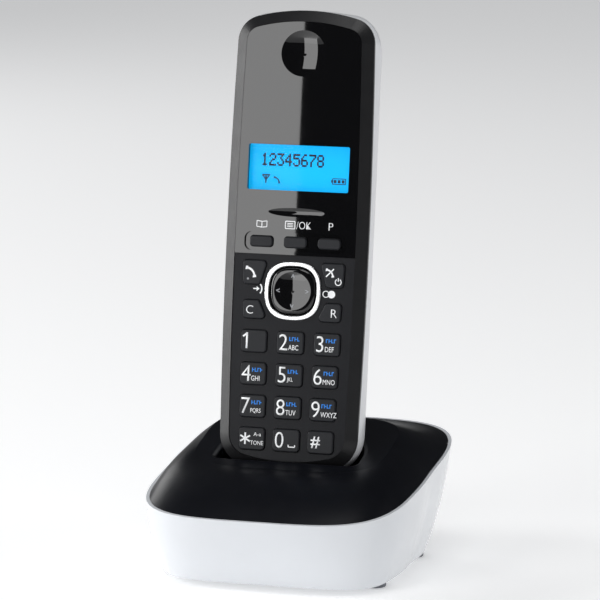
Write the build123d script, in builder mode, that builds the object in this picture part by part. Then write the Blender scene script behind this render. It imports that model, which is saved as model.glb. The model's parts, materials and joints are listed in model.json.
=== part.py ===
from build123d import *
import os
from math import copysign, cos, pi, radians, sin

os.makedirs("parts", exist_ok=True)

# Cordless telephone: a slim handset that leans back in a small charging base.
# Millimetres. The origin is the centre of the base on the table, +X is to the right
# of a person facing the keys, +Y is to the back and +Z is up.

# ---- driving dimensions of the base -------------------------------------------------
rim_half_width = 42.9        # black cover, at the line where it meets the white housing
rim_half_depth = 51.7
rim_height = 32.0            # height of that line at the middle of its length
rim_tilt = 8.0               # degrees, the line rises towards the back
lip_width = 1.1              # white lip that shows round the black cover
wall = 2.0                   # housing walls
floor_level = 1.8            # underside of the base, above the table
foot_radius = 3.6
foot_places = [(-32.5, -24.5), (32.5, -24.5), (-32.5, 20.0), (32.5, 20.0)]
outline_steps = 40           # points on each superellipse

# ---- driving dimensions of the handset ----------------------------------------------
lean = 8.8                   # degrees, how far the docked handset leans back
face_foot = -23.3            # where the plane of the keys would meet the table
bottom_end = 34.1            # lower end of the handset, along its own length
top_end = 184.1
half_width = 24.05
barrel_level = 106.0         # the handset is widest here
side_radius = 2260.0         # each long side is a very wide arc
end_radius = 64.0            # the two ends bow out in the middle
top_corner = 8.5
bottom_corner = 10.5
frame_depth = 3.4            # black frame, from the keys' face back to the parting line
bevel_across = 3.6
bevel_down = 2.2
total_depth = 27.2
shell = 1.8
panel_inset = 3.7            # from the handset's outline in to the front panels
panel_thick = 1.6
keypad_recess = 0.35         # the keypad panel lies this much lower than the glossy one
panel_seam = 104.8
fit_gap = 0.1

# ---- keys ---------------------------------------------------------------------------
key_travel = 0.6
key_proud = 0.75             # caps stand this far out of the keypad panel
key_height = 7.3
key_corner = 1.3
slot_gap = 0.18              # between a cap and its opening
flange_width = 0.5
flange_thick = 0.7
row_one = 76.4
row_pitch = 10.57
column_offset = 12.4
column_step = 0.26           # the outer columns draw in by this much each row down
ring_centre = 93.2
ring_radius = 9.5
ring_band = 1.45
ring_power = 2.6             # between a circle, 2, and a square
nav_radius = 7.75

lean_cos = cos(radians(lean))
lean_sin = sin(radians(lean))

# The face plane: local x is across, local y runs up the handset, and z points out at
# the user. Depth is counted back from it.
face = Plane(origin=(0, face_foot, 0), x_dir=(1, 0, 0), z_dir=(0, -lean_cos, lean_sin))


def at_depth(depth):
    """Plane parallel to the keys' face, this far behind it."""
    return face.offset(-depth)


def across_handset(level):
    """Plane square to the handset's length at this level, with local y to the back."""
    origin = face.from_local_coords((0, level, 0))
    return Plane(origin=origin, x_dir=(1, 0, 0), z_dir=face.y_dir)


def tilted(height, slope_degrees):
    """Plane through the Z axis at this height, which rises towards the back."""
    slope = radians(slope_degrees)
    return Plane(origin=(0, 0, height), x_dir=(1, 0, 0), z_dir=(0, -sin(slope), cos(slope)))


def save(piece, name):
    piece.part.label = name
    export_step(piece.part, f"parts/{name}.step")


def superellipse(plane, half_width, half_depth, power, centre=(0, 0)):
    """Closed smooth outline where |x/a|^n + |y/b|^n = 1."""
    points = []
    for step in range(outline_steps):
        angle = 2 * pi * step / outline_steps
        across = copysign(abs(cos(angle)) ** (2 / power), cos(angle))
        along = copysign(abs(sin(angle)) ** (2 / power), sin(angle))
        points.append((centre[0] + half_width * across, centre[1] + half_depth * along))
    with BuildSketch(plane) as outline:
        with BuildLine():
            Spline(*points, periodic=True)
        make_face()
    return outline.sketch


def handset_outline(plane, inset=0.0):
    """Barrel-sided outline of the handset, drawn in by inset: four wide arcs and round corners."""
    with BuildSketch(plane) as outline:
        with Locations((0, (top_end + bottom_end) / 2)):
            SlotOverall(top_end - bottom_end - 2 * inset, 2 * (end_radius - inset), rotation=90)
        for turn in (0, 180):
            turned = Location((0, barrel_level, 0), (0, 0, turn))
            with Locations(turned * Location((side_radius - half_width, 0, 0))):
                Circle(side_radius - inset, mode=Mode.INTERSECT)
        fillet(outline.vertices().sort_by(Axis.Y)[-2:], top_corner - inset)
        fillet(outline.vertices().sort_by(Axis.Y)[:2], bottom_corner - inset)
    return outline.sketch


def rounded_box(plane, width, height, corner, depth, centre=(0, 0)):
    """Block behind the plane with rounded upright edges."""
    with BuildPart() as block:
        with BuildSketch(plane):
            with Locations(centre):
                RectangleRounded(width, height, corner)
        extrude(amount=-depth)
    return block.part


# ---- handset: rounded back volume ---------------------------------------------------
back_power = 2.3
back_angles = [25, 45, 62, 74]     # degrees round the quarter superellipse
upper_reach_from = 110.0
lower_reach_from = 85.0


def back_volume(inset=0.0):
    """Pillow-shaped volume behind the parting line, drawn in by inset."""
    sections = [handset_outline(at_depth(frame_depth), inset)]
    for angle in back_angles:
        share = sin(radians(angle))
        half = half_width * (1 - share ** back_power) ** (1 / back_power) - inset
        upper = upper_reach_from + (top_end - upper_reach_from) * (1 - share ** 3) ** (1 / 3) - inset
        lower = lower_reach_from - (lower_reach_from - bottom_end) * (1 - share ** 4) ** (1 / 4) + inset
        corner = min(bottom_corner + 8 * share, 0.95 * half)
        depth = frame_depth + share * (total_depth - inset - frame_depth)
        with BuildSketch(at_depth(depth)) as section:
            with Locations((0, (upper + lower) / 2)):
                RectangleRounded(2 * half, upper - lower, corner)
        sections.append(section.sketch)
    with BuildPart() as volume:
        loft(sections=sections)
    return volume.part


back_outer = back_volume()
back_inner = back_volume(shell)
back_inner_low = back_volume(shell + 0.35)


# ---- handset: black front frame -----------------------------------------------------
ledge_depth = panel_thick + keypad_recess + 0.05
ledge_inset = 4.4
skirt_outer = 2.0
skirt_inner = 3.2
skirt_depth = 6.0

with BuildPart() as front_frame:
    extrude(handset_outline(at_depth(frame_depth)), amount=frame_depth)
    front_edges = front_frame.faces().filter_by(lambda f: f.is_planar).sort_by(Axis.Y)[0].edges()
    chamfer(front_edges, length=bevel_down, length2=bevel_across)
    extrude(handset_outline(face, panel_inset - fit_gap), amount=-ledge_depth, mode=Mode.SUBTRACT)
    extrude(handset_outline(face, ledge_inset), amount=-skirt_depth, mode=Mode.SUBTRACT)
    extrude(handset_outline(at_depth(frame_depth), skirt_outer), amount=frame_depth - skirt_depth)
    extrude(handset_outline(at_depth(frame_depth), skirt_inner), amount=frame_depth - skirt_depth,
            mode=Mode.SUBTRACT)
save(front_frame, "front_frame")

# ---- handset: glossy upper panel ----------------------------------------------------
window_half_width = 17.1
window_low = 125.6
window_high = 140.4
dish_centre = 170.1
dish_radius = 7.5
dish_depth = 1.05
dish_sphere = (dish_radius ** 2 + dish_depth ** 2) / (2 * dish_depth)
dimple_level = 118.6         # long shallow dimple under the display
dimple_depth = 0.4
dimple_half_width = 9.5
dimple_half_height = 1.5
dimple_arc = dimple_half_width ** 2 / (2 * dimple_depth)
dimple_tube = dimple_half_height ** 2 / (2 * dimple_depth)
soft_level = 108.9
soft_recess_width = 34.4
soft_recess_height = 6.0
soft_recess_depth = 0.85
soft_offsets = {"softkey_left": -11.5, "softkey_middle": 0.0, "softkey_right": 11.5}
soft_width = 7.8
soft_height = 3.5
panel_width = 2 * half_width
window_middle = (window_low + window_high) / 2

with BuildPart() as front_panel:
    extrude(handset_outline(face, panel_inset), amount=-panel_thick)
    with BuildSketch(face):
        with Locations((0, panel_seam / 2)):
            Rectangle(panel_width, panel_seam)
    extrude(amount=-panel_thick, mode=Mode.SUBTRACT)
    with BuildSketch(face):
        with Locations((0, window_middle)):
            RectangleRounded(2 * window_half_width, window_high - window_low, 0.6)
    extrude(amount=-panel_thick, mode=Mode.SUBTRACT)
    with BuildSketch(face):
        with Locations((0, soft_level)):
            RectangleRounded(soft_recess_width, soft_recess_height, 2.2)
    extrude(amount=-soft_recess_depth, mode=Mode.SUBTRACT)
    with BuildSketch(face):
        with Locations([(offset_x, soft_level) for offset_x in soft_offsets.values()]):
            RectangleRounded(soft_width + 2 * slot_gap, soft_height + 2 * slot_gap, key_corner)
    extrude(amount=-panel_thick, mode=Mode.SUBTRACT)
    with Locations(face.offset(dish_sphere - dish_depth).location * Location((0, dish_centre, 0))):
        Sphere(dish_sphere, mode=Mode.SUBTRACT)
    with Locations(face.location * Location((0, dimple_level, dimple_arc - dimple_depth), (90, 0, 0))):
        Torus(dimple_arc - dimple_tube, dimple_tube, mode=Mode.SUBTRACT)
    with BuildSketch(face):
        with Locations((0, dish_centre)):
            SlotArc(CenterArc((0, 0), 4.2, 200, 140), 0.9)
    extrude(amount=-panel_thick, mode=Mode.SUBTRACT)
save(front_panel, "front_panel")

# ---- handset: display stack ---------------------------------------------------------
window_thick = 0.8
glass_thick = 1.5
guide_thick = 1.0
stack_gap = 0.05
window_depth = panel_thick + stack_gap
glass_depth = window_depth + window_thick + stack_gap
guide_depth = glass_depth + glass_thick + stack_gap

with BuildPart() as display_window:
    add(rounded_box(at_depth(window_depth), 36.8, 18.0, 0.8, window_thick, (0, window_middle)))
save(display_window, "display_window")

with BuildPart() as display_glass:
    add(rounded_box(at_depth(glass_depth), 36.6, 20.0, 0.4, glass_thick, (0, window_middle)))
save(display_glass, "display_glass")

with BuildPart() as light_guide:
    add(rounded_box(at_depth(guide_depth), 36.6, 22.0, 0.4, guide_thick, (0, window_middle)))
    with BuildSketch(at_depth(guide_depth)):
        with Locations((-19.0, window_middle), (19.0, window_middle)):
            Rectangle(3.0, 8.0)
    extrude(amount=-guide_thick, mode=Mode.SUBTRACT)
save(light_guide, "light_guide")

# ---- handset: key outlines ----------------------------------------------------------
wide_key = 9.2
side_key = 8.8
number_names = [["1", "2", "3"], ["4", "5", "6"], ["7", "8", "9"], ["star", "0", "hash"]]


def key_outline(plane, corners, radius, grow=0.0):
    with BuildSketch(plane) as outline:
        with BuildLine():
            Polyline(*corners, close=True)
        make_face()
        fillet(outline.vertices(), radius)
        if grow:
            offset(amount=grow)
    return outline.sketch


def rectangle_corners(centre, width, height):
    left = centre[0] - width / 2
    right = centre[0] + width / 2
    low = centre[1] - height / 2
    high = centre[1] + height / 2
    return [(left, low), (right, low), (right, high), (left, high)]


def mirrored(corners):
    return [(-x, y) for x, y in corners]


talk_corners = [(-17.3, 102.7), (-8.9, 102.7), (-11.2, 94.8), (-17.0, 94.8)]
clear_corners = [(-16.8, 89.8), (-11.3, 89.8), (-8.4, 83.7), (-16.5, 83.7)]

keys = {
    "key_talk": talk_corners,
    "key_off": mirrored(talk_corners),
    "key_clear": clear_corners,
    "key_recall": mirrored(clear_corners),
}
for row, names in enumerate(number_names):
    reach = column_offset - column_step * row
    for column, name in enumerate(names):
        middle_column = column == 1
        centre = ((column - 1) * reach, row_one - row_pitch * row)
        keys["key_" + name] = rectangle_corners(centre, wide_key if middle_column else side_key, key_height)

# ---- handset: matte keypad panel ----------------------------------------------------
nav_slot = 0.25
ring_inner = ring_radius - ring_band


def squircle(depth, half_size):
    return superellipse(at_depth(depth), half_size, half_size, ring_power, (0, ring_centre))


with BuildPart() as keypad_panel:
    extrude(handset_outline(at_depth(keypad_recess), panel_inset), amount=-panel_thick)
    with BuildSketch(at_depth(keypad_recess)):
        with Locations((0, panel_seam - fit_gap + top_end / 2)):
            Rectangle(panel_width, top_end)
    extrude(amount=-panel_thick, mode=Mode.SUBTRACT)
    for corners in keys.values():
        extrude(key_outline(at_depth(keypad_recess), corners, key_corner, slot_gap),
                amount=-panel_thick, mode=Mode.SUBTRACT)
    extrude(squircle(keypad_recess, ring_inner + nav_slot), amount=-panel_thick, mode=Mode.SUBTRACT)
    extrude(squircle(keypad_recess, ring_radius + 0.02), amount=-0.6, mode=Mode.SUBTRACT)
save(keypad_panel, "keypad_panel")

# ---- handset: keys ------------------------------------------------------------------
mat_depth = 4.0
flange_depth = keypad_recess + panel_thick + 0.05
plunger_end = mat_depth - key_travel - 0.05
cap_round = 0.45


def make_key(corners, cap_depth, back_depth, radius, centre):
    """Cap with rounded edges, a flange that keeps it in its opening, and a plunger."""
    with BuildPart() as key:
        extrude(key_outline(at_depth(cap_depth), corners, radius), amount=cap_depth - back_depth - flange_thick)
        top_edges = key.faces().sort_by(Axis.Y)[0].edges()
        fillet(top_edges, cap_round)
        extrude(key_outline(at_depth(back_depth), corners, radius, flange_width), amount=-flange_thick)
        with BuildSketch(at_depth(back_depth + flange_thick)):
            with Locations(centre):
                Circle(1.3)
        extrude(amount=-(plunger_end - back_depth - flange_thick))
    return key


def middle_of(corners):
    count = len(corners)
    return (sum(x for x, y in corners) / count, sum(y for x, y in corners) / count)


for name, corners in keys.items():
    key = make_key(corners, keypad_recess - key_proud, flange_depth, key_corner, middle_of(corners))
    save(key, name)

for name, offset_x in soft_offsets.items():
    corners = rectangle_corners((offset_x, soft_level), soft_width, soft_height)
    key = make_key(corners, -0.1, panel_thick + 0.05, key_corner, (offset_x, soft_level))
    save(key, name)

# ---- handset: navigation key, its ring and the rocker under it ----------------------
ring_seat = keypad_recess + 0.6
ring_crown = 0.35
ring_round = 0.35
nav_top = -0.55
nav_round = 1.4
nav_taper = 0.7
nav_dip = 0.45               # the middle of the key is dished this deep
nav_dish_radius = 6.2
nav_sphere = (nav_dish_radius ** 2 + nav_dip ** 2) / (2 * nav_dip)
nav_flange_depth = 3.0

with BuildPart() as nav_ring:
    extrude(squircle(ring_seat, ring_radius), amount=ring_seat + ring_crown)
    extrude(squircle(ring_seat, ring_inner), amount=ring_seat + ring_crown, mode=Mode.SUBTRACT)
    fillet(nav_ring.faces().sort_by(Axis.Y)[0].edges(), ring_round)
save(nav_ring, "nav_ring")

with BuildPart() as nav_key:
    extrude(squircle(nav_flange_depth, nav_radius), amount=nav_flange_depth - nav_top)
    fillet(nav_key.faces().filter_by(GeomType.PLANE).sort_by(Axis.Y)[0].edges(), nav_round)
    chamfer(nav_key.faces().filter_by(GeomType.PLANE).sort_by(Axis.Y)[-1].edges(), nav_taper)
    with Locations(face.offset(nav_sphere - nav_top - nav_dip).location * Location((0, ring_centre, 0))):
        Sphere(nav_sphere, mode=Mode.SUBTRACT)
save(nav_key, "nav_key")

rocker_gap = 0.2
rocker_radius = 2.6
rocker_thick = 0.4

with BuildPart() as nav_rocker:
    with BuildSketch(at_depth(nav_flange_depth + rocker_gap)):
        with Locations((0, ring_centre)):
            Circle(rocker_radius)
    extrude(amount=-rocker_thick)
save(nav_rocker, "nav_rocker")

# ---- handset: rubber mat, dome foil and circuit board -------------------------------
mat_thick = 0.8
mat_low = 41.0
mat_high = 112.5
mat_width = 36.4
foil_thick = 0.2
board_thick = 1.2
board_low = 41.0
board_high = 156.0
foil_depth = mat_depth + mat_thick + 0.05
board_depth = foil_depth + foil_thick + 0.05

with BuildPart() as key_mat:
    add(rounded_box(at_depth(mat_depth), mat_width, mat_high - mat_low, 3.0, mat_thick,
                    (0, (mat_low + mat_high) / 2)))
save(key_mat, "key_mat")

with BuildPart() as dome_foil:
    add(rounded_box(at_depth(foil_depth), mat_width, mat_high - mat_low, 3.0, foil_thick,
                    (0, (mat_low + mat_high) / 2)))
save(dome_foil, "dome_foil")

chip_places = [((-6.0, 100.0), 12.0, 12.0, 1.6), ((9.0, 98.0), 8.0, 6.0, 1.2), ((0.0, 150.0), 22.0, 6.0, 1.4),
               ((-9.0, 60.0), 5.0, 5.0, 2.4), ((6.0, 66.0), 9.0, 5.0, 1.5), ((10.0, 122.0), 7.0, 4.0, 2.0)]

with BuildPart() as handset_board:
    add(rounded_box(at_depth(board_depth), 37.0, board_high - board_low, 2.0, board_thick,
                    (0, (board_low + board_high) / 2)))
    for place, width, height, tall in chip_places:
        with BuildSketch(at_depth(board_depth + board_thick)):
            with Locations(place):
                Rectangle(width, height)
        extrude(amount=-tall)
save(handset_board, "handset_board")

# ---- handset: sound parts -----------------------------------------------------------
earpiece_level = 168.6
earpiece_radius = 8.6
ringer_level = 141.0
ringer_radius = 7.5
ringer_depth = 15.0
ringer_tall = 3.6
mouthpiece_depth = 9.5

with BuildPart() as earpiece:
    with BuildSketch(at_depth(2.2)):
        with Locations((0, earpiece_level)):
            Circle(earpiece_radius)
    extrude(amount=-2.2)
    with BuildSketch(at_depth(4.4)):
        with Locations((0, earpiece_level)):
            Circle(earpiece_radius - 2.2)
    extrude(amount=-1.8)
save(earpiece, "earpiece")

with BuildPart() as ringer:
    with BuildSketch(at_depth(ringer_depth)):
        with Locations((0, ringer_level)):
            Circle(ringer_radius)
    extrude(amount=-ringer_tall)
    with BuildSketch(at_depth(ringer_depth + ringer_tall)):
        with Locations((0, ringer_level)):
            Circle(1.2)
    extrude(amount=0.8, mode=Mode.SUBTRACT)
save(ringer, "ringer")

with BuildPart() as microphone:
    with BuildSketch(across_handset(36.8)):
        with Locations((0, mouthpiece_depth)):
            Circle(2.5)
    extrude(amount=2.0)
save(microphone, "microphone")

# ---- handset: battery bay, cells and cover ------------------------------------------
cell_radius = 5.2
cell_length = 44.4
cell_spacing = 10.9
cell_axis_depth = 18.4
bay_low = 61.5
bay_high = 113.5
bay_width = 22.6
bay_floor_depth = 12.9
bay_back = 11.9
cover_low = 55.0
cover_high = 119.0
cover_width = 34.0
cover_corner = 5.0
cover_gap = 0.25
cover_from_depth = 14.0
bay_middle = (bay_low + bay_high) / 2
far = 30.0
terminal_width = 4.0
terminal_reach = 5.0
terminal_near = 11.5
screw_head_depth = 19.0
screw_shank = 1.1
screw_head = 2.0
screw_places = [(-12.0, 116.4), (12.0, 116.4)]
terminal_far = 15.5
terminal_places = [(-8.5, bottom_end + 2.6), (8.5, bottom_end + 2.6)]


def back_prism(width, low, high, corner, start):
    """Upright block through the back of the handset, from this depth outwards."""
    return rounded_box(at_depth(start), width, high - low, corner, far, (0, (low + high) / 2))


cover_space = back_prism(cover_width, cover_low, cover_high, cover_corner, cover_from_depth)
block_space = back_prism(cover_width + 3.0, cover_low - 1.5, cover_high + 1.5, cover_corner + 1.5, bay_back)
bay_space = back_prism(bay_width, bay_low, bay_high, 1.0, bay_floor_depth)
cover_solid = back_prism(cover_width - 2 * cover_gap, cover_low + cover_gap, cover_high - cover_gap,
                         cover_corner - cover_gap, cover_from_depth)

with BuildPart() as bay_block:
    add(back_inner)
    add(block_space, mode=Mode.INTERSECT)

with BuildPart() as cover_seat:
    add(back_inner_low)
    add(cover_space, mode=Mode.INTERSECT)

with BuildPart() as back_housing:
    add(back_outer)
    add(back_inner, mode=Mode.SUBTRACT)
    add(bay_block.part)
    add(cover_space, mode=Mode.SUBTRACT)
    add(cover_seat.part)
    add(bay_space, mode=Mode.SUBTRACT)
    with BuildSketch(at_depth(ringer_depth)):
        with Locations((0, ringer_level)):
            with PolarLocations(3.4, 6):
                Circle(0.8)
            Circle(0.8)
    extrude(amount=-far, mode=Mode.SUBTRACT)
    with BuildSketch(across_handset(bottom_end - 2)):
        with Locations((0, mouthpiece_depth)):
            Circle(0.7)
    extrude(amount=4.5, mode=Mode.SUBTRACT)
    with BuildSketch(at_depth(terminal_near)):
        with Locations(terminal_places):
            Rectangle(terminal_width, terminal_reach)
    extrude(amount=terminal_near - terminal_far, mode=Mode.SUBTRACT)
    with BuildSketch(at_depth(screw_head_depth)):
        with Locations(screw_places):
            Circle(screw_shank + 0.05)
    extrude(amount=screw_head_depth - bay_back - 0.6, mode=Mode.SUBTRACT)
    with BuildSketch(at_depth(screw_head_depth)):
        with Locations(screw_places):
            Circle(screw_head + 0.2)
    extrude(amount=-far, mode=Mode.SUBTRACT)
save(back_housing, "back_housing")

with BuildPart() as battery_cover:
    add(back_outer)
    add(back_inner, mode=Mode.SUBTRACT)
    add(cover_solid, mode=Mode.INTERSECT)
    with BuildSketch(at_depth(total_depth + 1)):
        with Locations((0, cover_high - 9)):
            for step in range(3):
                with Locations((0, -2.4 * step)):
                    SlotOverall(12 - 3 * step, 1.1)
    extrude(amount=2.2, mode=Mode.SUBTRACT)
save(battery_cover, "battery_cover")

for name, side in (("battery_cell_left", -1), ("battery_cell_right", 1)):
    with BuildPart() as cell:
        with BuildSketch(across_handset(bay_middle - cell_length / 2)):
            with Locations((side * cell_spacing / 2, cell_axis_depth)):
                Circle(cell_radius)
        extrude(amount=cell_length - 0.9)
        fillet(cell.edges().filter_by(GeomType.CIRCLE), 0.4)
        with BuildSketch(across_handset(bay_middle + cell_length / 2 - 0.9)):
            with Locations((side * cell_spacing / 2, cell_axis_depth)):
                Circle(1.9)
        extrude(amount=0.9)
    save(cell, name)

# Leaf springs at the lower ends of the cells and flat plates at the upper ends.
leaf_thick = 0.4
leaf_width = 6.0
spring_bow = bay_middle - cell_length / 2 - bay_low
plate_gap = bay_high - bay_middle - cell_length / 2

with BuildPart() as battery_springs:
    for side in (-1, 1):
        axis_x = side * cell_spacing / 2
        with BuildSketch(across_handset(bay_low)):
            with Locations((axis_x, cell_axis_depth)):
                Rectangle(leaf_width, leaf_width)
        extrude(amount=leaf_thick)
        with BuildSketch(across_handset(bay_low + leaf_thick)):
            with Locations((axis_x, cell_axis_depth)):
                Circle(2.2)
                Circle(1.6, mode=Mode.SUBTRACT)
        extrude(amount=spring_bow - leaf_thick - 0.05)
save(battery_springs, "battery_springs")

with BuildPart() as battery_plates:
    for side in (-1, 1):
        with BuildSketch(across_handset(bay_high - plate_gap + 0.05)):
            with Locations((side * cell_spacing / 2, cell_axis_depth)):
                Rectangle(leaf_width, leaf_width)
        extrude(amount=plate_gap - 0.05)
save(battery_plates, "battery_plates")

with BuildPart() as charge_terminals:
    for place in terminal_places:
        with BuildSketch(at_depth(terminal_near)):
            with Locations(place):
                Rectangle(terminal_width, terminal_reach)
        extrude(amount=terminal_near - terminal_far)
save(charge_terminals, "charge_terminals")

with BuildPart() as handset_screws:
    with BuildSketch(at_depth(screw_head_depth)):
        with Locations(screw_places):
            Circle(screw_shank)
    extrude(amount=screw_head_depth - bay_back - 0.8)
    with BuildSketch(at_depth(screw_head_depth)):
        with Locations(screw_places):
            Circle(screw_head)
    extrude(amount=-1.4)
save(handset_screws, "handset_screws")

# ---- base: white housing ------------------------------------------------------------
waist_height = 17.2
rim_plane = tilted(rim_height, rim_tilt)


def base_volume(inset, bottom):
    """Tapering volume below the rim, drawn in by inset, that starts at this height."""
    return [
        superellipse(Plane.XY.offset(bottom), 37.8 - inset, 36.6 - inset, 5.0, (0, -5.6)),
        superellipse(tilted(waist_height, rim_tilt / 2), 42.0 - inset, 45.6 - inset, 4.5, (0, -2.6)),
        superellipse(rim_plane, rim_half_width + lip_width - inset, rim_half_depth + lip_width - inset, 4.0),
    ]


ledge_drop = 2.4
floor_top = floor_level + wall
notch_width = 40.0
notch_face = 27.0
notch_low = 6.6
notch_high = 21.0
board_level = 6.4
board_top = board_level + 1.4
post_places = foot_places
post_radius = 3.4
screw_radius = 1.3
head_radius = 2.6
head_tall = 1.8
head_level = 3.6
post_top = 11.0

with BuildPart() as base_outer:
    loft(sections=base_volume(0, floor_level))
    bottom_edges = base_outer.faces().sort_by(Axis.Z)[0].edges()
    fillet(bottom_edges, 1.6)

with BuildPart() as notch_liner:
    add(base_outer.part)
    with BuildSketch(Plane.XY.offset(notch_low - wall)):
        with Locations((0, notch_face + far)):
            Rectangle(notch_width + 2 * wall, 2 * (far + wall))
    extrude(amount=notch_high - notch_low + 2 * wall, mode=Mode.INTERSECT)

socket_gap = 0.05
line_socket_size = (13.4, 14.0, 11.6)
power_socket_size = (9.6, 12.0, 10.8)
line_socket_x = -9.5
power_socket_x = 9.5

with BuildPart() as base_housing:
    add(base_outer.part)
    loft(sections=base_volume(wall + 1.0, floor_top), mode=Mode.SUBTRACT)
    extrude(superellipse(rim_plane, rim_half_width + fit_gap, rim_half_depth + fit_gap, 4.0),
            amount=-ledge_drop, mode=Mode.SUBTRACT)
    add(notch_liner.part)
    with BuildSketch(Plane.XY.offset(notch_low)):
        with Locations((0, notch_face + far)):
            Rectangle(notch_width, 2 * far)
    extrude(amount=notch_high - notch_low, mode=Mode.SUBTRACT)
    with BuildSketch(Plane.XY.offset(floor_level)):
        with Locations(post_places):
            Circle(post_radius)
    extrude(amount=post_top - floor_level)
    with BuildSketch(Plane.XY.offset(floor_level)):
        with Locations(post_places):
            Circle(head_radius + 0.3)
    extrude(amount=head_level + head_tall - floor_level, mode=Mode.SUBTRACT)
    with BuildSketch(Plane.XY.offset(floor_level)):
        with Locations(post_places):
            Circle(screw_radius)
    extrude(amount=post_top - floor_level, mode=Mode.SUBTRACT)
    with BuildSketch(Plane.XZ.offset(-notch_face - 1)):
        with Locations((line_socket_x, board_top + line_socket_size[2] / 2)):
            Rectangle(line_socket_size[0] + 2 * socket_gap, line_socket_size[2] + 2 * socket_gap)
        with Locations((power_socket_x, board_top + power_socket_size[2] / 2)):
            Rectangle(power_socket_size[0] + 2 * socket_gap, power_socket_size[2] + 2 * socket_gap)
    extrude(amount=wall + 2, mode=Mode.SUBTRACT)
    with BuildSketch(Plane.XY.offset(floor_level)):
        with Locations(foot_places):
            Circle(foot_radius + 0.05)
    extrude(amount=0.8, mode=Mode.SUBTRACT)
save(base_housing, "base_housing")

with BuildPart() as rubber_feet:
    with BuildSketch(Plane.XY):
        with Locations(foot_places):
            Circle(foot_radius)
    extrude(amount=floor_level + 0.8)
    fillet(rubber_feet.edges().filter_by(GeomType.CIRCLE).group_by(Axis.Z)[0], 0.5)
save(rubber_feet, "rubber_feet")

with BuildPart() as base_screws:
    with BuildSketch(Plane.XY.offset(head_level)):
        with Locations(post_places):
            Circle(head_radius)
    extrude(amount=head_tall)
    with BuildSketch(Plane.XY.offset(head_level + head_tall)):
        with Locations(post_places):
            Circle(screw_radius)
    extrude(amount=post_top + 5 - head_level - head_tall)
save(base_screws, "base_screws")

# ---- base: sockets and board --------------------------------------------------------
with BuildPart() as line_socket:
    with BuildSketch(Plane.XY.offset(board_top)):
        with Locations((line_socket_x, notch_face - line_socket_size[1] / 2)):
            Rectangle(line_socket_size[0], line_socket_size[1])
    extrude(amount=line_socket_size[2])
    with BuildSketch(Plane.XZ.offset(-notch_face)):
        with Locations((line_socket_x, board_top + 5.6)):
            Rectangle(9.8, 6.8)
        with Locations((line_socket_x, board_top + 9.0)):
            Rectangle(6.0, 3.0)
    extrude(amount=11.0, mode=Mode.SUBTRACT)
save(line_socket, "line_socket")

with BuildPart() as power_socket:
    with BuildSketch(Plane.XY.offset(board_top)):
        with Locations((power_socket_x, notch_face - power_socket_size[1] / 2)):
            Rectangle(power_socket_size[0], power_socket_size[1])
    extrude(amount=power_socket_size[2])
    with BuildSketch(Plane.XZ.offset(-notch_face)):
        with Locations((power_socket_x, board_top + 5.6)):
            Circle(3.1)
            Circle(0.8, mode=Mode.SUBTRACT)
    extrude(amount=9.0, mode=Mode.SUBTRACT)
save(power_socket, "power_socket")

with BuildPart() as base_board:
    with BuildSketch(Plane.XY.offset(board_level)):
        with Locations((0, -4.0)):
            RectangleRounded(50.0, 56.0, 3.0)
    extrude(amount=board_top - board_level)
    for place, width, depth_y, tall in (((-8, -12), 14, 14, 1.6), ((14, -16), 9, 6, 1.4), ((16, 2), 7, 7, 8.0)):
        with BuildSketch(Plane.XY.offset(board_top)):
            with Locations(place):
                Rectangle(width, depth_y)
        extrude(amount=tall)
save(base_board, "base_board")

with BuildPart() as base_antenna:
    with BuildSketch(Plane.XY.offset(board_top)):
        with Locations((-21.0, -16.0)):
            Rectangle(0.5, 22.0)
    extrude(amount=9.0)
    with BuildSketch(Plane.XY.offset(board_top + 8.5)):
        with Locations((-18.5, -16.0)):
            Rectangle(5.5, 22.0)
    extrude(amount=0.5)
save(base_antenna, "base_antenna")

# ---- base: black top cover with the cradle well -------------------------------------
skin = 1.8
pocket_gap = 0.7
pocket_floor = bottom_end - pocket_gap
pocket_front = -pocket_gap
pocket_back = 26.6
pocket_half_width = half_width
pocket_round = 3.0
contact_x = 8.5
contact_depth = 13.5
contact_width = 3.0
contact_reach = 3.6
contact_low = 28.8
contact_top = 34.0
contact_travel = 1.0
button_y = 37.5
button_radius = 4.5
button_foot = 36.4
button_top = 42.6
mouth_round = 1.5
crown_plane = tilted(42.5, 13.5)


def cover_volume(inset, drop, start):
    """Mound over the rim that climbs round the handset, from this height over the rim plane."""
    return [
        superellipse(rim_plane.offset(start), rim_half_width - inset, rim_half_depth - inset, 4.0),
        superellipse(tilted(38.2 - drop, 6.8), 38.0 - inset, 35.8 - inset, 3.6, (0, -2.0)),
        superellipse(crown_plane.offset(-drop), 32.0 - inset, 21.6 - inset, 4.0, (0, -4.4)),
    ]


def well_outline(level, grow):
    """Flat-fronted, round-backed section that takes the foot of the handset."""
    half = pocket_half_width + grow
    front = pocket_front - grow
    back = pocket_back + grow
    shoulder = frame_depth + 2.0
    with BuildSketch(across_handset(level)) as outline:
        with BuildLine():
            Polyline((-half, shoulder), (-half, front), (half, front), (half, shoulder))
            EllipticalCenterArc((0, shoulder), half, back - shoulder, start_angle=0, arc_size=180)
        make_face()
        fillet(outline.vertices().sort_by(Axis.Y)[:2], 2.5 + grow)
    return outline.sketch


skirt_inset = 0.5
skirt_overlap = 1.0
hollow_start = -3.2

with BuildPart() as pocket:
    extrude(well_outline(pocket_floor, 0), amount=50)
    fillet(pocket.faces().sort_by(Axis.Z)[0].edges(), pocket_round)

with BuildPart() as works:
    extrude(well_outline(pocket_floor - skin, skin), amount=50)
    with BuildSketch(Plane.XY.offset(post_top + 0.2)):
        with Locations(post_places):
            Circle(post_radius)
    extrude(amount=40)

with BuildPart() as hollow:
    loft(sections=cover_volume(skin + skirt_inset, skin, hollow_start))
    add(works.part, mode=Mode.SUBTRACT)

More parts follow.
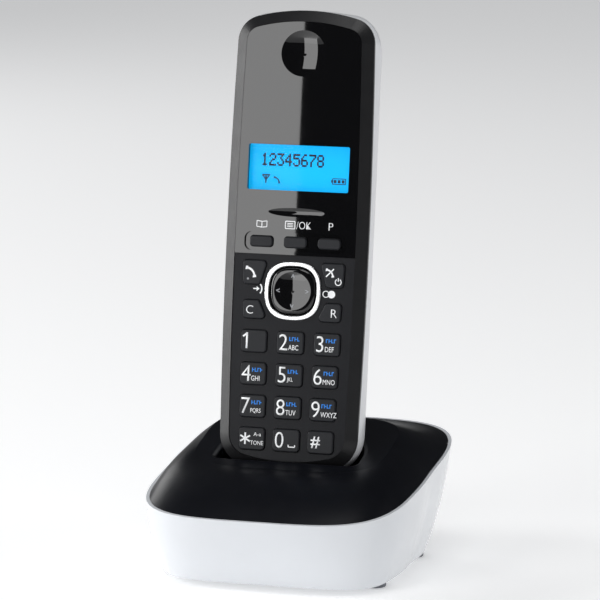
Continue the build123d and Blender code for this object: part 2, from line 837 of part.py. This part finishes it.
with BuildPart() as lower_works:
    add(works.part)
    split(bisect_by=rim_plane.offset(-skirt_overlap), keep=Keep.BOTTOM)

with BuildPart() as top_cover:
    loft(sections=cover_volume(0, 0, 0))
    extrude(superellipse(rim_plane.offset(fit_gap - ledge_drop), rim_half_width - skirt_inset,
                         rim_half_depth - skirt_inset, 4.0), amount=ledge_drop + skirt_overlap)
    add(hollow.part, mode=Mode.SUBTRACT)
    add(lower_works.part)
    add(pocket.part, mode=Mode.SUBTRACT)
    crown = top_cover.faces().filter_by(crown_plane).sort_by(Axis.Z)[-1]
    fillet(crown.inner_wires()[0].edges(), mouth_round)
    with BuildSketch(Plane.XY.offset(post_top)):
        with Locations(post_places):
            Circle(screw_radius)
    extrude(amount=6.0, mode=Mode.SUBTRACT)
    with BuildSketch(across_handset(pocket_floor - skin - 1)):
        with Locations([(side * contact_x, contact_depth) for side in (-1, 1)]):
            Rectangle(contact_width + 0.8, contact_reach + 0.8)
    extrude(amount=skin + 3, mode=Mode.SUBTRACT)
    with BuildSketch(Plane.XY.offset(30)):
        with Locations((0, button_y)):
            Circle(button_radius + 0.3)
    extrude(amount=30, mode=Mode.SUBTRACT)
save(top_cover, "top_cover")

# ---- base: charging contacts, their holder and the locator button --------------------
for name, side in (("charge_contact_left", -1), ("charge_contact_right", 1)):
    with BuildPart() as contact:
        with BuildSketch(across_handset(contact_low)):
            with Locations((side * contact_x, contact_depth)):
                Rectangle(contact_width, contact_reach)
        extrude(amount=contact_top - contact_low)
        fillet(contact.edges().filter_by(Axis.X).group_by(Axis.Z)[-1], 1.0)
        with BuildSketch(across_handset(contact_low)):
            with Locations((side * contact_x, contact_depth)):
                Rectangle(contact_width + 1.6, contact_reach)
        extrude(amount=1.0)
    save(contact, name)

with BuildPart() as contact_holder:
    with BuildSketch(across_handset(contact_low - contact_travel - 2.5)):
        with Locations((0, contact_depth)):
            Rectangle(2 * contact_x + 12, contact_reach + 5)
    extrude(amount=pocket_floor - skin - contact_low + contact_travel + 2.4)
    with BuildSketch(across_handset(contact_low - contact_travel - 0.1)):
        with Locations([(side * contact_x, contact_depth) for side in (-1, 1)]):
            Rectangle(contact_width + 2.2, contact_reach + 0.6)
    extrude(amount=8, mode=Mode.SUBTRACT)
save(contact_holder, "contact_holder")

with BuildPart() as locator_button:
    with BuildSketch(Plane.XY.offset(button_foot)):
        with Locations((0, button_y)):
            Circle(button_radius)
    extrude(amount=button_top - button_foot)
    fillet(locator_button.edges().filter_by(GeomType.CIRCLE).group_by(Axis.Z)[-1], 0.8)
    with BuildSketch(Plane.XY.offset(button_foot)):
        with Locations((0, button_y)):
            Circle(button_radius + 1.0)
    extrude(amount=0.8)
save(locator_button, "locator_button")
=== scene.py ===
import json
import math

import bmesh
import bpy
from mathutils import Matrix, Vector


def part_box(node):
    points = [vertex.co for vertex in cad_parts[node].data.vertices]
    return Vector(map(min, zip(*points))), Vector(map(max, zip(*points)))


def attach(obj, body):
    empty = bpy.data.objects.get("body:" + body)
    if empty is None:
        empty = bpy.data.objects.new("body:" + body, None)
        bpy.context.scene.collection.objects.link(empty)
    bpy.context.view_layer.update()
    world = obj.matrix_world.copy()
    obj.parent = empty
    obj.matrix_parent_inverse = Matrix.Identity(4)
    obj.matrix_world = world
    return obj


# Looks, printing, floor, light and camera of the cordless phone with base. Places on the handset's
# face are in mm: across it, along it towards its top, and out of it. All else is in metres.

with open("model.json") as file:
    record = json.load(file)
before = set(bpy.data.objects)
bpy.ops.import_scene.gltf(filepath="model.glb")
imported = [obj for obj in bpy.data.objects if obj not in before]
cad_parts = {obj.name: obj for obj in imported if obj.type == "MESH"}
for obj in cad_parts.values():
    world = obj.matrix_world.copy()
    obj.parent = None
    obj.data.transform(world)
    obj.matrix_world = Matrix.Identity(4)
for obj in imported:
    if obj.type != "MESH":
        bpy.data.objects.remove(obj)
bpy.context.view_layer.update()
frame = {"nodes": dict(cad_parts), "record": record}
nodes = frame["nodes"]

# ---- the handset's own frame: across, along and out of the keys' face ----------------
LEAN = math.radians(8.8)
FACE_FOOT = Vector((0.0, -0.0233, 0.0))
ACROSS = Vector((1.0, 0.0, 0.0))
ALONG = Vector((0.0, math.sin(LEAN), math.cos(LEAN)))
OUT = Vector((0.0, -math.cos(LEAN), math.sin(LEAN)))
MM = 0.001
FRONT_DEEP = 1.0    # a part's front is all of it within this depth of its foremost level, mm


def face_matrix(across, along, out):
    """Matrix with local x across, y along and z out of the handset's face; arguments in mm."""
    spot = FACE_FOOT + (ACROSS * across + ALONG * along + OUT * out) * MM
    turn = Matrix((ACROSS, ALONG, OUT)).transposed().to_4x4()
    return Matrix.Translation(spot) @ turn


def face_point(point):
    """A point of the model as across, along and out, in mm."""
    offset = (point - FACE_FOOT) / MM
    return offset.dot(ACROSS), offset.dot(ALONG), offset.dot(OUT)


def front_of(node):
    """Middle across, middle along, and the foremost level of a CAD node, in mm."""
    places = [face_point(v.co) for v in nodes[node].data.vertices]
    out = max(p[2] for p in places)
    front = [p for p in places if p[2] > out - FRONT_DEEP]
    across = [p[0] for p in front]
    along = [p[1] for p in front]
    return (min(across) + max(across)) / 2, (min(along) + max(along)) / 2, out


# ---- materials -----------------------------------------------------------------------
COAT_ROUGH = 0.03
PATCH_DETAIL = 3.0
GRAIN_DETAIL = 2.0


def noise(tree, coords, size, detail):
    """Noise over the part's own coordinates, with spots of about this size in mm."""
    spots = tree.nodes.new("ShaderNodeTexNoise")
    spots.inputs["Scale"].default_value = 1 / MM / size
    spots.inputs["Detail"].default_value = detail
    tree.links.new(coords.outputs["Object"], spots.inputs["Vector"])
    return spots.outputs["Fac"]


def material(name, color, rough, metal=0.0, coat=0.0, grain=0.0, grain_size=0.4, mottle=0.0,
             blotch=6.0, emission=0.0, alpha=1.0, rough_spread=0.05, specular=0.5):
    """Plastic, metal or rubber with a fine grain in its surface and uneven wear in its gloss.

    grain is the height of the grain, grain_size its width and blotch the width of the patches, in
    mm. mottle is the share by which the patches' colour strays, rough_spread how far their
    roughness does.
    """
    mat = bpy.data.materials.new(name)
    mat.use_nodes = True
    tree = mat.node_tree
    shader = tree.nodes["Principled BSDF"]
    shader.inputs["Metallic"].default_value = metal
    shader.inputs["Specular IOR Level"].default_value = specular
    shader.inputs["Coat Weight"].default_value = coat
    shader.inputs["Coat Roughness"].default_value = COAT_ROUGH
    shader.inputs["Alpha"].default_value = alpha
    if emission:
        shader.inputs["Emission Color"].default_value = (*color, 1.0)
        shader.inputs["Emission Strength"].default_value = emission
    coords = tree.nodes.new("ShaderNodeTexCoord")
    patches = noise(tree, coords, blotch, PATCH_DETAIL)
    gloss = tree.nodes.new("ShaderNodeMapRange")
    gloss.inputs["To Min"].default_value = max(0.0, rough - rough_spread)
    gloss.inputs["To Max"].default_value = rough + rough_spread
    tree.links.new(patches, gloss.inputs["Value"])
    tree.links.new(gloss.outputs["Result"], shader.inputs["Roughness"])
    if mottle:
        tint = tree.nodes.new("ShaderNodeMix")
        tint.data_type = "RGBA"
        tint.inputs["A"].default_value = (*[c * (1 - mottle) for c in color], 1.0)
        tint.inputs["B"].default_value = (*[min(1.0, c * (1 + mottle)) for c in color], 1.0)
        tree.links.new(patches, tint.inputs["Factor"])
        tree.links.new(tint.outputs["Result"], shader.inputs["Base Color"])
    else:
        shader.inputs["Base Color"].default_value = (*color, 1.0)
    if grain:
        bump = tree.nodes.new("ShaderNodeBump")
        bump.inputs["Strength"].default_value = 1.0
        bump.inputs["Distance"].default_value = grain * MM
        tree.links.new(noise(tree, coords, grain_size, GRAIN_DETAIL), bump.inputs["Height"])
        tree.links.new(bump.outputs["Normal"], shader.inputs["Normal"])
    return mat


SLOT_LOOKS = {
    # Handset, outside.
    "frame_black": dict(color=(0.012, 0.012, 0.013), rough=0.34, grain=0.045, grain_size=0.42,
                        mottle=0.12, specular=0.35),
    "gloss_black": dict(color=(0.0025, 0.0025, 0.003), rough=0.014, rough_spread=0.006, mottle=0.1,
                        specular=0.65),
    "window": dict(color=(0.02, 0.03, 0.035), rough=0.03, rough_spread=0.01, alpha=0.05),
    "lcd": dict(color=(0.0, 0.38, 0.80), rough=0.5, emission=0.85, mottle=0.04, blotch=14.0,
                specular=0.2),
    "guide_white": dict(color=(0.85, 0.9, 0.95), rough=0.3, grain=0.01),
    "keypad_black": dict(color=(0.008, 0.0085, 0.011), rough=0.30, grain=0.012, grain_size=0.5,
                         mottle=0.10, specular=0.15),
    "key_black": dict(color=(0.014, 0.015, 0.018), rough=0.38, grain=0.02, grain_size=0.35,
                      mottle=0.15, specular=0.22),
    "ring_silver": dict(color=(0.86, 0.87, 0.88), rough=0.27, metal=1.0, grain=0.006,
                        grain_size=0.3, mottle=0.03),
    "white_shell": dict(color=(0.76, 0.77, 0.79), rough=0.28, rough_spread=0.012, grain=0.004,
                        grain_size=0.6, mottle=0.008),
    # Base, outside.
    "cover_black": dict(color=(0.004, 0.0045, 0.007), rough=0.33, rough_spread=0.04, grain=0.010,
                        grain_size=0.5, mottle=0.12, specular=0.28),
    "white_gloss": dict(color=(0.74, 0.76, 0.79), rough=0.12, rough_spread=0.03, coat=0.4,
                        mottle=0.012),
    "foot_rubber": dict(color=(0.16, 0.17, 0.19), rough=0.65, grain=0.04, mottle=0.12),
    # Inside both.
    "dark_plastic": dict(color=(0.03, 0.03, 0.033), rough=0.5, grain=0.03, mottle=0.1),
    "mat_rubber": dict(color=(0.18, 0.18, 0.18), rough=0.7, grain=0.03, mottle=0.1),
    "foil": dict(color=(0.7, 0.7, 0.68), rough=0.4, grain=0.01, mottle=0.05),
    "board": dict(color=(0.02, 0.14, 0.05), rough=0.35, grain=0.02, grain_size=1.2, mottle=0.25),
    "speaker": dict(color=(0.03, 0.03, 0.03), rough=0.4, grain=0.02, mottle=0.1),
    "contact_metal": dict(color=(0.72, 0.70, 0.66), rough=0.25, metal=1.0, grain=0.008,
                          mottle=0.06),
    "screw_steel": dict(color=(0.55, 0.55, 0.56), rough=0.3, metal=1.0, grain=0.01, mottle=0.08),
    "cell_sleeve": dict(color=(0.05, 0.22, 0.12), rough=0.3, coat=0.3, mottle=0.1),
}
looks = {name: material(name, **values) for name, values in SLOT_LOOKS.items()}
# The white and blue inks carry emission, a painted glow that brightens the printing on the keys
# and panels, though printing is no lamp.
white_ink_painted_glow = material("white_ink_painted_glow", (0.86, 0.87, 0.88), 0.45, emission=0.10, grain=0.01, mottle=0.04)
blue_ink_painted_glow = material("blue_ink_painted_glow", (0.005, 0.16, 0.55), 0.45, emission=0.45, grain=0.01, mottle=0.06)
dim_ink = material("dim_ink", (0.35, 0.36, 0.38), 0.45, grain=0.01, mottle=0.06)
lcd_ink = material("lcd_ink", (0.001, 0.006, 0.04), 0.4, grain=0.005, mottle=0.1)

slots = {entry["node"]: entry["material_slot"] for entry in frame["record"]["subparts"]}
for node, thing in nodes.items():
    thing.data.materials.clear()
    thing.data.materials.append(looks[slots[node]])

# ---- printing, as thin raised meshes --------------------------------------------------
INK = 0.03          # thickness of printing, mm
INK_LIFT = 0.012    # printing stands this far off its surface, mm
CURVE_STEPS = 4     # straight pieces to each curve of a letter
WELD = 1e-7         # corners closer than this are one, m


def thicken(mesh):
    """Gives a flat mesh the ink's thickness."""
    build = bmesh.new()
    build.from_mesh(mesh)
    bmesh.ops.remove_doubles(build, verts=build.verts, dist=WELD)
    grown = bmesh.ops.extrude_face_region(build, geom=list(build.faces))
    raised = [item for item in grown["geom"] if isinstance(item, bmesh.types.BMVert)]
    bmesh.ops.translate(build, verts=raised, vec=(0, 0, INK * MM))
    bmesh.ops.recalc_face_normals(build, faces=build.faces)
    build.to_mesh(mesh)
    build.free()


def print_flat(name, mesh, centre, out, ink, body):
    """Puts a flat drawing in metres on the face, at a centre and a level in mm."""
    thicken(mesh)
    piece = bpy.data.objects.new(name, mesh)
    bpy.context.collection.objects.link(piece)
    mesh.materials.clear()
    mesh.materials.append(ink)
    mesh.transform(face_matrix(centre[0], centre[1], out + INK_LIFT))
    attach(piece, body)


def lettering(name, text, height, centre, out, body, slot_name, bold=0.0, squeeze=1.0,
              from_left=False):
    """White text whose capitals are height mm tall.

    bold widens its strokes, as a share of the font's size, and squeeze scales its width. The
    text's middle is at the centre, or with from_left the middle of its left edge.
    """
    curve = bpy.data.curves.new(name, "FONT")
    curve.body = text
    curve.size = 1.0
    curve.offset = bold
    curve.resolution_u = CURVE_STEPS
    maker = bpy.data.objects.new(name, curve)
    bpy.context.collection.objects.link(maker)
    bpy.context.view_layer.update()
    mesh = bpy.data.meshes.new_from_object(
        maker.evaluated_get(bpy.context.evaluated_depsgraph_get()))
    bpy.data.objects.remove(maker)
    left = min(v.co.x for v in mesh.vertices)
    right = max(v.co.x for v in mesh.vertices)
    low = min(v.co.y for v in mesh.vertices)
    high = max(v.co.y for v in mesh.vertices)
    anchor = left if from_left else (left + right) / 2
    scale = height * MM / (high - low)
    mesh.transform(Matrix.Translation((-anchor, -(low + high) / 2, 0)))
    mesh.transform(Matrix.Diagonal((scale * squeeze, scale, 1, 1)))
    print_flat(name, mesh, centre, out, white_ink_painted_glow, body)


def drawing(name, outlines, centre, out, ink, body, size=1.0):
    """A small symbol made of closed outlines, whose points are in mm from its centre."""
    build = bmesh.new()
    for outline in outlines:
        build.faces.new([build.verts.new((x * size * MM, y * size * MM, 0)) for x, y in outline])
    mesh = bpy.data.meshes.new(name)
    build.to_mesh(mesh)
    build.free()
    print_flat(name, mesh, centre, out, ink, body)


# ---- symbols: closed outlines in mm about the symbol's own centre ---------------------
def stroke(points, width):
    """Open line of this width, as one four-cornered outline for each of its pieces."""
    quads = []
    for (ax, ay), (bx, by) in zip(points, points[1:]):
        length = math.hypot(bx - ax, by - ay)
        nx = -(by - ay) / length * width / 2
        ny = (bx - ax) / length * width / 2
        quads.append([(ax + nx, ay + ny), (ax - nx, ay - ny), (bx - nx, by - ny),
                      (bx + nx, by + ny)])
    return quads


def arc(centre, radius, start, end, steps=14):
    """Points along an arc, degrees from the right, anticlockwise."""
    angles = [math.radians(start + (end - start) * i / steps) for i in range(steps + 1)]
    return [(centre[0] + radius * math.cos(a), centre[1] + radius * math.sin(a)) for a in angles]


def disc(centre, radius, steps):
    return arc(centre, radius, 0, 360, steps)[:-1]


def turned(points, degrees):
    """Points turned anticlockwise about the centre."""
    cos, sin = math.cos(math.radians(degrees)), math.sin(math.radians(degrees))
    return [(x * cos - y * sin, x * sin + y * cos) for x, y in points]


def receiver():
    """Telephone receiver: a curved grip with a thick ear at each end."""
    grip = stroke(arc((-1.6, -1.6), 2.3, 5, 85), 0.55)
    ears = [[(-1.9, 0.25), (-1.35, 0.3), (-1.1, 1.15), (-1.75, 1.2)],
            [(0.25, -1.9), (0.3, -1.35), (1.15, -1.1), (1.2, -1.75)]]
    return grip + ears


def power_sign():
    """Circle open at the top, with a bar in its gap."""
    return stroke(arc((0, 0), 1.0, 120, 420, 22), 0.32) + stroke([(0, 0.2), (0, 1.4)], 0.32)


def redial_sign():
    """Arrow that points to the right into an arc."""
    shaft = stroke([(-1.6, 0), (-0.2, 0)], 0.35)
    head = [(-0.5, 0.75), (0.5, 0), (-0.5, -0.75)]
    return shaft + [head] + stroke(arc((-0.9, 0), 2.1, -42, 42), 0.45)


def two_circles():
    """A ring on the left of a filled circle."""
    return stroke(arc((-1.1, 0), 1.0, 0, 360, 24), 0.3) + [disc((0.8, 0), 1.25, 22)]


def star():
    """Three bars crossed at the centre."""
    bars = []
    for angle in (90, 30, 150):
        x, y = turned([(1.9, 0)], angle)[0]
        bars += stroke([(-x, -y), (x, y)], 0.55)
    return bars


def open_book():
    cover = stroke([(-1.7, -0.9), (-1.7, 1.0), (-0.1, 0.8), (0.1, 0.8), (1.7, 1.0), (1.7, -0.9),
                    (0, -1.1), (-1.7, -0.9)], 0.24)
    spine = stroke([(0, -1.0), (0, 0.8)], 0.24)
    return cover + spine


def menu_page():
    """Upright sheet with three lines of writing."""
    page = stroke([(-1.6, -1.2), (1.6, -1.2), (1.6, 1.2), (-1.6, 1.2), (-1.6, -1.2)], 0.26)
    for level in (-0.5, 0.0, 0.5):
        page += stroke([(-0.95, level), (0.95, level)], 0.22)
    return page


def signal_sign():
    """Mast with a triangle on top."""
    mast = stroke([(0, -1.4), (0, 1.2)], 0.45)
    return mast + stroke([(-1.3, 1.3), (1.3, 1.3), (0, -0.2), (-1.3, 1.3)], 0.4)


def battery_sign():
    """Battery with its cap to the left and three bars of charge."""
    case = stroke([(-2.2, -0.9), (2.2, -0.9), (2.2, 0.9), (-2.2, 0.9), (-2.2, -0.9)], 0.26)
    cap = [(-2.7, -0.4), (-2.3, -0.4), (-2.3, 0.4), (-2.7, 0.4)]
    bars = [[(bar - 0.45, -0.5), (bar + 0.45, -0.5), (bar + 0.45, 0.5), (bar - 0.45, 0.5)]
            for bar in (-1.35, 0.0, 1.35)]
    return case + [cap] + bars


MARK_PITCH = 0.9
MARK_REACH = 0.65   # half a mark's height
MARK_BAR = 0.6
MARK_BAR_LEVELS = (0.5, 0.0, -0.5)
MARK_LINE = 0.28


def neutral_marks(digit):
    """Four upright marks, each with a bar at one of three levels, so that each key's differ."""
    marks = []
    for column in range(4):
        left = column * MARK_PITCH
        bar = MARK_BAR_LEVELS[(column + digit) % 3]
        marks += stroke([(left, -MARK_REACH), (left, MARK_REACH)], MARK_LINE)
        marks += stroke([(left, bar), (left + MARK_BAR, bar)], MARK_LINE)
    return marks


# ---- printing on the keys --------------------------------------------------------------
def key_text(key, what, text, height, shift, **style):
    """Text on a key, shifted in mm from the middle of its front."""
    across, along, out = front_of(key)
    lettering(key + "_" + what, text, height, (across + shift[0], along + shift[1]), out, key,
              "key_black", **style)


def key_symbol(key, what, outlines, shift, ink=white_ink_painted_glow, size=1.0):
    """Symbol on a key, shifted in mm from the middle of its front."""
    across, along, out = front_of(key)
    drawing(key + "_" + what, outlines, (across + shift[0], along + shift[1]), out, ink, key,
            size)


DIGIT_TALL = 5.2
DIGIT_RISE = 0.1
DIGIT_SHIFT = -2.3
ZERO_SHIFT = -2.2
LETTERS_TALL = 1.65
CALL_LETTER_TALL = 2.7    # the C and R beside the ring

LETTERS = {"2": "ABC", "3": "DEF", "4": "GHI", "5": "JKL", "6": "MNO", "7": "PQRS", "8": "TUV",
           "9": "WXYZ"}
for digit in "1234567890":
    key = "key_" + digit
    shift = (ZERO_SHIFT if digit == "0" else DIGIT_SHIFT, DIGIT_RISE)
    key_text(key, "digit", digit, DIGIT_TALL, shift, bold=-0.006, squeeze=0.90)
    if digit == "1":
        key_symbol(key, "flag", stroke([(-1.3, 1.25), (0.0, 2.25)], 0.6), (-2.35, DIGIT_RISE))
    if digit in LETTERS:
        key_text(key, "letters", LETTERS[digit], LETTERS_TALL, (-0.55, -1.5), squeeze=0.76,
                 from_left=True)
        key_symbol(key, "blue_marks", neutral_marks(int(digit)), (-0.2, 1.25), blue_ink_painted_glow)

space_mark = stroke([(-1.1, 0.5), (-1.1, -0.2), (1.1, -0.2), (1.1, 0.5)], 0.35)
key_symbol("key_0", "space_mark", space_mark, (2.0, -1.8))
key_symbol("key_star", "mark", star(), (-2.2, 0))
key_text("key_star", "case", "A-a", 1.25, (1.9, 1.5))
key_text("key_star", "tone", "TONE", 1.35, (1.8, -1.3), squeeze=0.85)
key_text("key_hash", "mark", "#", 3.8, (-1.6, 0), bold=0.012)
key_text("key_clear", "letter", "C", CALL_LETTER_TALL, (-1.3, -0.2), bold=-0.008)
key_text("key_recall", "letter", "R", CALL_LETTER_TALL, (1.4, -0.2), bold=-0.008)
key_symbol("key_talk", "symbol", receiver(), (-0.7, 0.5), size=1.2)
key_symbol("key_talk", "dot", [disc((0, 0), 0.35, 16)], (-2.0, -2.2), dim_ink)
key_symbol("key_off", "symbol", receiver(), (-0.6, 1.2), size=0.95)
key_symbol("key_off", "stroke", stroke([(-1.3, -1.3), (1.3, 1.3)], 0.4), (-0.9, 0.9))
key_symbol("key_off", "power", power_sign(), (2.0, -2.0))

# ---- printing beside the ring and on the navigation key --------------------------------
ring_across, ring_along = front_of("nav_ring")[:2]
panel_out = front_of("keypad_panel")[2]
drawing("redial_symbol", redial_sign(), (ring_across - 11.9, ring_along + 0.2), panel_out,
        white_ink_painted_glow, "handset", 1.05)
drawing("book_symbol_circles", two_circles(), (ring_across + 12.2, ring_along - 0.5), panel_out,
        white_ink_painted_glow, "handset")

DISH_AT_MARKS = 0.12    # the key is dished: its flat marks sit this far below its rim, mm
nav_out = front_of("nav_key")[2] - DISH_AT_MARKS
for name, turn in (("up", 0), ("left", 90), ("down", 180), ("right", 270)):
    arrow_tip = stroke(turned([(-0.5, 4.3), (0.0, 5.5), (0.5, 4.3)], turn), 0.26)
    drawing("nav_mark_" + name, arrow_tip, (ring_across, ring_along), nav_out, dim_ink, "nav_key")

# ---- printing on the glossy panel, above the soft keys ---------------------------------
PANEL_OUT = 0.0     # the glossy panel is the face itself
LEGEND_RISE = 5.6   # from the middle of a soft key up to its legend
LEGEND_TALL = 2.4
LEGEND_BOLD = -0.012

left_key, middle_key, right_key = [front_of("softkey_" + place)[:2]
                                   for place in ("left", "middle", "right")]
drawing("book_legend", open_book(), (left_key[0], left_key[1] + LEGEND_RISE), PANEL_OUT,
        white_ink_painted_glow, "handset")
drawing("menu_legend", menu_page(), (middle_key[0] - 1.9, middle_key[1] + LEGEND_RISE), PANEL_OUT,
        white_ink_painted_glow, "handset")
lettering("ok_legend", "/OK", LEGEND_TALL, (middle_key[0] + 2.7, middle_key[1] + LEGEND_RISE),
          PANEL_OUT, "handset", "gloss_black", bold=LEGEND_BOLD, squeeze=0.82)
lettering("p_legend", "P", LEGEND_TALL, (right_key[0] + 0.4, right_key[1] + LEGEND_RISE),
          PANEL_OUT, "handset", "gloss_black", bold=LEGEND_BOLD)

# ---- display: a line of dot-matrix digits above the status symbols ---------------------
GLYPHS = {
    "1": "00100 01100 00100 00100 00100 00100 01110",
    "2": "01110 10001 00001 00110 01000 10000 11111",
    "3": "11111 00010 00100 00010 00001 10001 01110",
    "4": "00010 00110 01010 10010 11111 00010 00010",
    "5": "11111 10000 11110 00001 00001 10001 01110",
    "6": "00110 01000 10000 11110 10001 10001 01110",
    "7": "11111 00001 00010 00100 01000 01000 01000",
    "8": "01110 10001 10001 01110 10001 10001 01110",
}
DOT_WIDE = 0.45
DOT_TALL = 0.58
DOT_BLEED = 0.07    # a dot spreads this far past its cell at the sides and below
DIGIT_COLUMNS = 6   # columns of dots from one digit to the next
LINE_LEFT = -13.4
LINE_RISE = 4.6     # top of the line above the window's middle
STATUS_DROP = 3.8   # status symbols below the window's middle

window_along = front_of("display_window")[1]
lcd_out = front_of("display_glass")[2]
dots = []
for place, digit in enumerate("12345678"):
    for row, bits in enumerate(GLYPHS[digit].split()):
        for column, bit in enumerate(bits):
            if bit == "1":
                x = (place * DIGIT_COLUMNS + column) * DOT_WIDE
                y = -row * DOT_TALL
                left, right = x - DOT_BLEED, x + DOT_WIDE + DOT_BLEED
                low = y - DOT_TALL - DOT_BLEED
                dots.append([(left, low), (right, low), (right, y), (left, y)])
drawing("display_digits", dots, (LINE_LEFT, window_along + LINE_RISE), lcd_out, lcd_ink,
        "handset")
for name, outlines, across, size in (("signal", signal_sign(), -11.6, 1.0),
                                     ("receiver", receiver(), -7.6, 0.75),
                                     ("battery", battery_sign(), 13.2, 1.0)):
    drawing("display_" + name, outlines, (across, window_along - STATUS_DROP), lcd_out, lcd_ink,
            "handset", size)

# ---- floor ---------------------------------------------------------------------------
FLOOR_HALF = 3.0
floor_mesh = bpy.data.meshes.new("floor")
floor_mesh.from_pydata([(-FLOOR_HALF, -FLOOR_HALF, 0), (FLOOR_HALF, -FLOOR_HALF, 0),
                        (FLOOR_HALF, FLOOR_HALF, 0), (-FLOOR_HALF, FLOOR_HALF, 0)],
                       [], [(0, 1, 2, 3)])
floor = bpy.data.objects.new("floor", floor_mesh)
bpy.context.collection.objects.link(floor)
floor_paint = material("floor_paint", (0.93, 0.93, 0.93), 0.6, specular=0.1, emission=0.3)
floor_mesh.materials.append(floor_paint)


# ---- light and camera ------------------------------------------------------------------
def aim(thing, place, target):
    thing.location = place
    thing.rotation_euler = (Vector(target) - Vector(place)).to_track_quat("-Z", "Y").to_euler()


def soft_light(name, width, height, power):
    """Panel of light; sides in metres, power in watts."""
    lamp = bpy.data.lights.new(name, "AREA")
    lamp.shape = "RECTANGLE"
    lamp.size = width
    lamp.size_y = height
    lamp.energy = power
    thing = bpy.data.objects.new(name, lamp)
    bpy.context.collection.objects.link(thing)
    return thing


CAMERA_PLACE = Vector((0.3993, -1.2887, 0.3183))
CAMERA_AIM = Vector((-0.29198, 0.94146, -0.16849))
LENS = 252.0        # focal length, mm
SENSOR = 36.0       # width, mm
NEAREST_SEEN = 0.01

# A tall panel of light whose right edge is seen mirrored on the middle line of the handset's face.
BOX_AWAY = 1.0
BOX_WIDE = 0.34
BOX_TALL = 0.8
BOX_POWER = 3.2
panel_middle = (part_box("front_panel")[0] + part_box("front_panel")[1]) / 2
view = (CAMERA_PLACE - panel_middle).normalized()
mirror = 2 * view.dot(OUT) * OUT - view
box_up = (ALONG - ALONG.dot(mirror) * mirror).normalized()
box_side = box_up.cross(mirror)
box_place = panel_middle + mirror * BOX_AWAY - box_side * (BOX_WIDE / 2)
box = soft_light("light_left_front", BOX_WIDE, BOX_TALL, BOX_POWER)
box.matrix_world = Matrix.Translation(box_place) \
    @ Matrix((box_side, box_up, mirror)).transposed().to_4x4()

# Name, place, target, width, height and power.
for name, place, target, width, height, power in (
        ("light_top", (0.15, -0.45, 1.3), (0, 0, 0.05), 0.7, 0.5, 3.8),
        ("light_right", (1.1, 0.1, 0.5), (0, 0, 0.08), 0.5, 0.9, 2.5),
        ("light_left", (-1.15, -0.2, 0.3), (0, 0, 0.1), 0.4, 0.9, 9.0),
        ("light_back", (-1.1, 0.9, 0.6), (0, 0, 0.1), 0.6, 0.6, 3.0)):
    aim(soft_light(name, width, height, power), place, target)

# The studio's dark walls show in glossy surfaces, while its bounced light still fills the shadows.
STUDIO_TINT = (0.95, 0.97, 1.0, 1.0)
STUDIO_FILL = 0.30
STUDIO_IN_GLOSS = 0.04
world = bpy.data.worlds.new("studio")
bpy.context.scene.world = world
world.use_nodes = True
background = world.node_tree.nodes["Background"]
background.inputs["Color"].default_value = STUDIO_TINT
rays = world.node_tree.nodes.new("ShaderNodeLightPath")
level = world.node_tree.nodes.new("ShaderNodeMapRange")
level.inputs["To Min"].default_value = STUDIO_FILL
level.inputs["To Max"].default_value = STUDIO_IN_GLOSS
world.node_tree.links.new(rays.outputs["Is Glossy Ray"], level.inputs["Value"])
world.node_tree.links.new(level.outputs["Result"], background.inputs["Strength"])
bpy.context.scene.view_settings.view_transform = "Standard"

camera = bpy.data.cameras.new("camera")
camera.lens = LENS
camera.sensor_width = SENSOR
camera.clip_start = NEAREST_SEEN
camera_thing = bpy.data.objects.new("camera", camera)
bpy.context.collection.objects.link(camera_thing)
aim(camera_thing, CAMERA_PLACE, CAMERA_PLACE + CAMERA_AIM)
bpy.context.scene.camera = camera_thing
